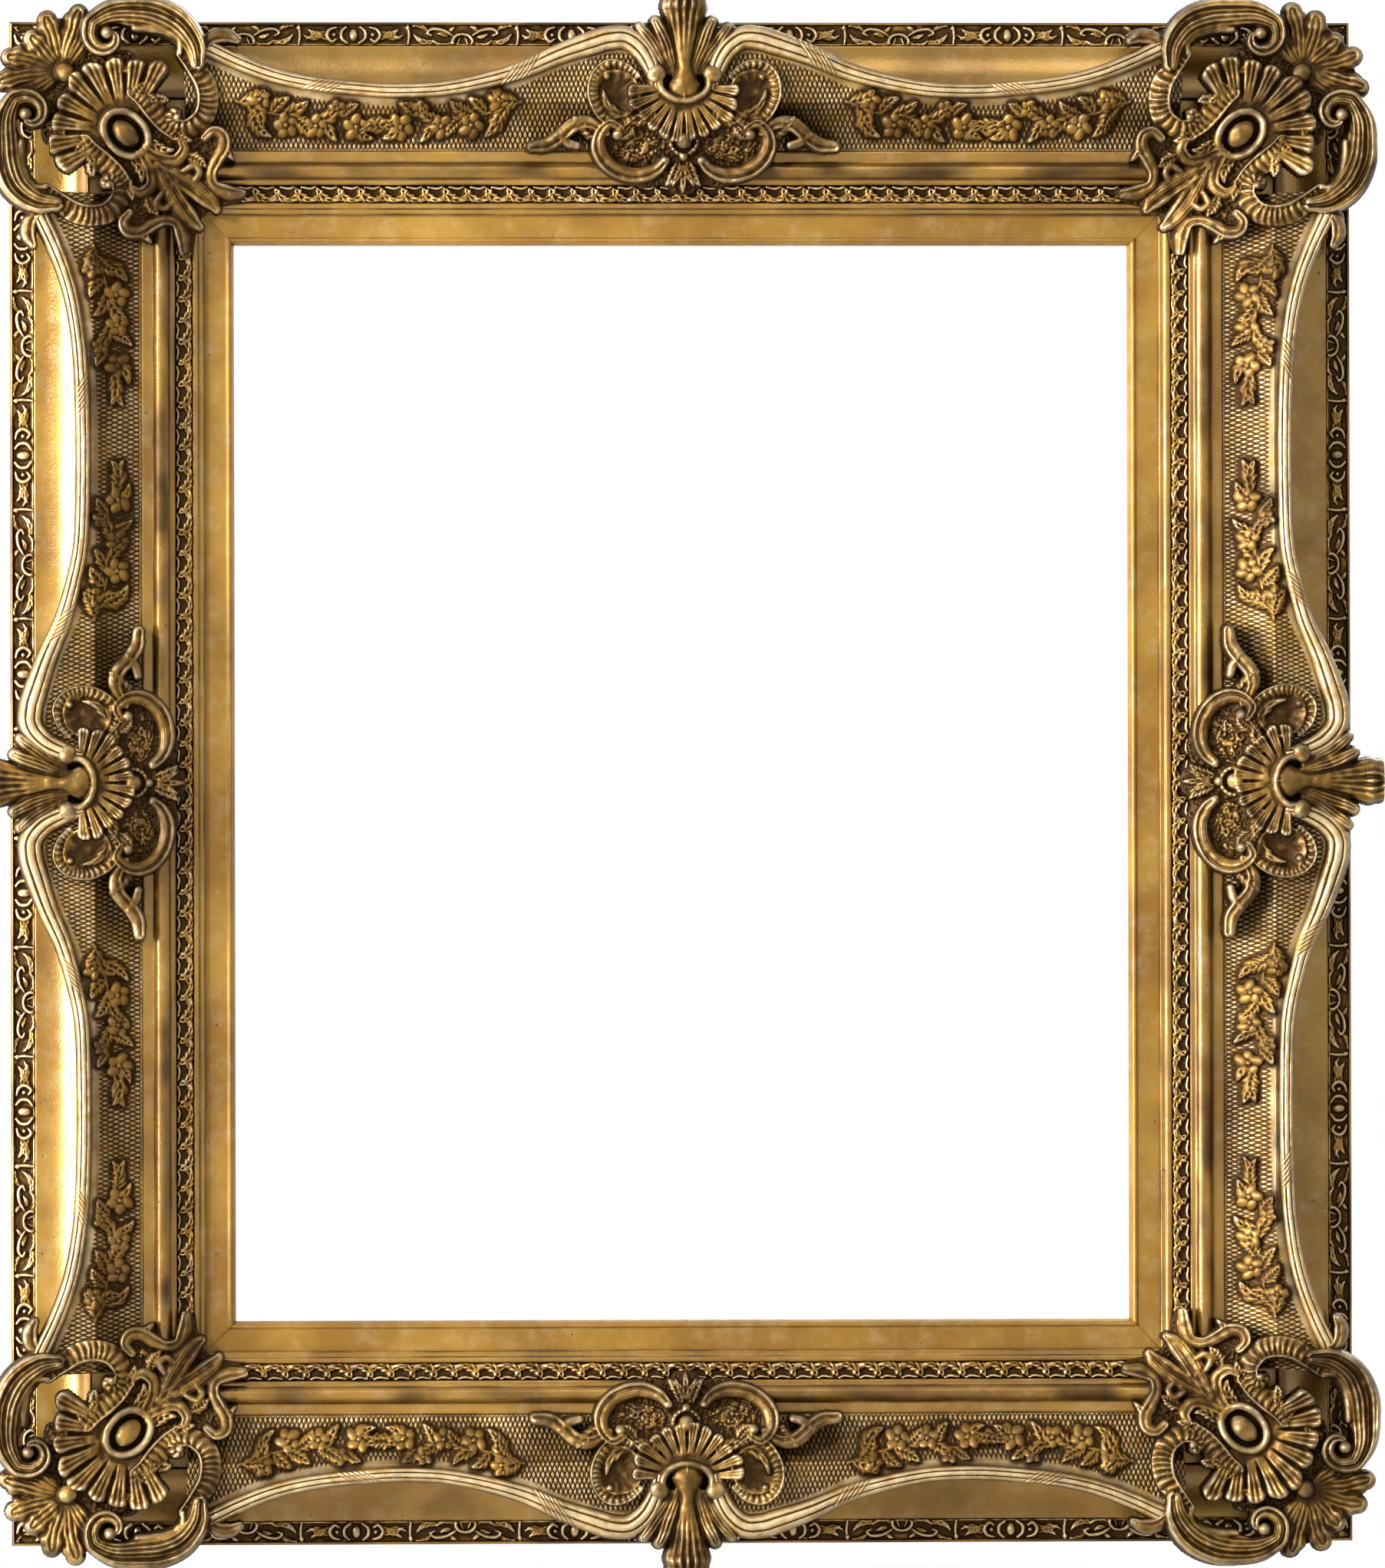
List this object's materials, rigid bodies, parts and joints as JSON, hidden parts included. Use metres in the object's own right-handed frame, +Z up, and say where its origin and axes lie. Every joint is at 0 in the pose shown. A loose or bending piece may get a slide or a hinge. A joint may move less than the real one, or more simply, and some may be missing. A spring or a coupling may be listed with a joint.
{
  "type": "picture frame",
  "caption": "Swept gilded picture frame with pierced scroll corners and centre cartouches, an open sight, and turn buttons and ring hangers on its back.",
  "frame": {"origin": "middle of the back face of the top back-frame rail, where the frame bears on the wall", "axes": "+Z up, +X to the right as seen from the front, +Y out of the back into the wall; the gilded front faces -Y"},
  "size_m": [0.788, 0.0771, 0.89],
  "materials": {
    "pine": "bare pine, planed and aged",
    "beech": "thin hardwood keys, sanded flush",
    "gilt_moulding": "gilded gesso over wood, rubbed to the bole on edges, dark patina in the hatching",
    "gilt_ornament": "cast composition ornament, gilded, with dark brown patina in the hollows and pale worn edges",
    "gilt_slip": "satin gilding with fine specks",
    "hardware": "plain brass sheet and wire, dulled",
    "screw_steel": "zinc plated, dulled"
  },
  "bodies": {
    "frame": {"back_frame_top": "pine", "back_frame_right": "pine", "back_frame_bottom": "pine", "back_frame_left": "pine", "moulding_top": "gilt_moulding", "moulding_right": "gilt_moulding", "moulding_bottom": "gilt_moulding", "moulding_left": "gilt_moulding", "outer_strip_top": "gilt_ornament", "outer_strip_right": "gilt_ornament", "outer_strip_bottom": "gilt_ornament", "outer_strip_left": "gilt_ornament", "inner_strip_top": "gilt_ornament", "inner_strip_right": "gilt_ornament", "inner_strip_bottom": "gilt_ornament", "inner_strip_left": "gilt_ornament", "slip_top": "gilt_slip", "slip_right": "gilt_slip", "slip_bottom": "gilt_slip", "slip_left": "gilt_slip", "swept_panel_top": "gilt_moulding", "swept_panel_right": "gilt_moulding", "swept_panel_bottom": "gilt_moulding", "swept_panel_left": "gilt_moulding", "swept_rim_top": "gilt_ornament", "swept_rim_right": "gilt_ornament", "swept_rim_bottom": "gilt_ornament", "swept_rim_left": "gilt_ornament", "centre_ornament_top": "gilt_ornament", "centre_ornament_right": "gilt_ornament", "centre_ornament_bottom": "gilt_ornament", "centre_ornament_left": "gilt_ornament", "corner_ornament_top_left": "gilt_ornament", "corner_ornament_top_right": "gilt_ornament", "corner_ornament_bottom_right": "gilt_ornament", "corner_ornament_bottom_left": "gilt_ornament", "corner_keys": "beech", "hanger_strap_left": "hardware", "hanger_strap_right": "hardware", "hanger_screws": "screw_steel", "button_screws": "screw_steel"},
    "ring_left": {"hanger_ring_left": "hardware"},
    "ring_right": {"hanger_ring_right": "hardware"},
    "button_1": {"turn_button_1": "hardware"},
    "button_2": {"turn_button_2": "hardware"},
    "button_3": {"turn_button_3": "hardware"},
    "button_4": {"turn_button_4": "hardware"},
    "button_5": {"turn_button_5": "hardware"},
    "button_6": {"turn_button_6": "hardware"}
  },
  "joints": [
    {"name": "ring_left_swing", "type": "hinge", "parent": "frame", "child": "ring_left", "pos_m": [-0.307, -0.0031, -0.203], "axis": [1, 0, 0], "range_deg": [0, 175]},
    {"name": "ring_right_swing", "type": "hinge", "parent": "frame", "child": "ring_right", "pos_m": [0.307, -0.0031, -0.203], "axis": [1, 0, 0], "range_deg": [0, 175]},
    {"name": "button_1_turn", "type": "hinge", "parent": "frame", "child": "button_1", "pos_m": [0, -0.005, -0.054], "axis": [0, 1, 0], "continuous": true},
    {"name": "button_2_turn", "type": "hinge", "parent": "frame", "child": "button_2", "pos_m": [0.293, -0.005, -0.298], "axis": [0, 1, 0], "continuous": true},
    {"name": "button_3_turn", "type": "hinge", "parent": "frame", "child": "button_3", "pos_m": [0.293, -0.005, -0.498], "axis": [0, 1, 0], "continuous": true},
    {"name": "button_4_turn", "type": "hinge", "parent": "frame", "child": "button_4", "pos_m": [0, -0.005, -0.742], "axis": [0, 1, 0], "continuous": true},
    {"name": "button_5_turn", "type": "hinge", "parent": "frame", "child": "button_5", "pos_m": [-0.293, -0.005, -0.498], "axis": [0, 1, 0], "continuous": true},
    {"name": "button_6_turn", "type": "hinge", "parent": "frame", "child": "button_6", "pos_m": [-0.293, -0.005, -0.298], "axis": [0, 1, 0], "continuous": true}
  ]
}
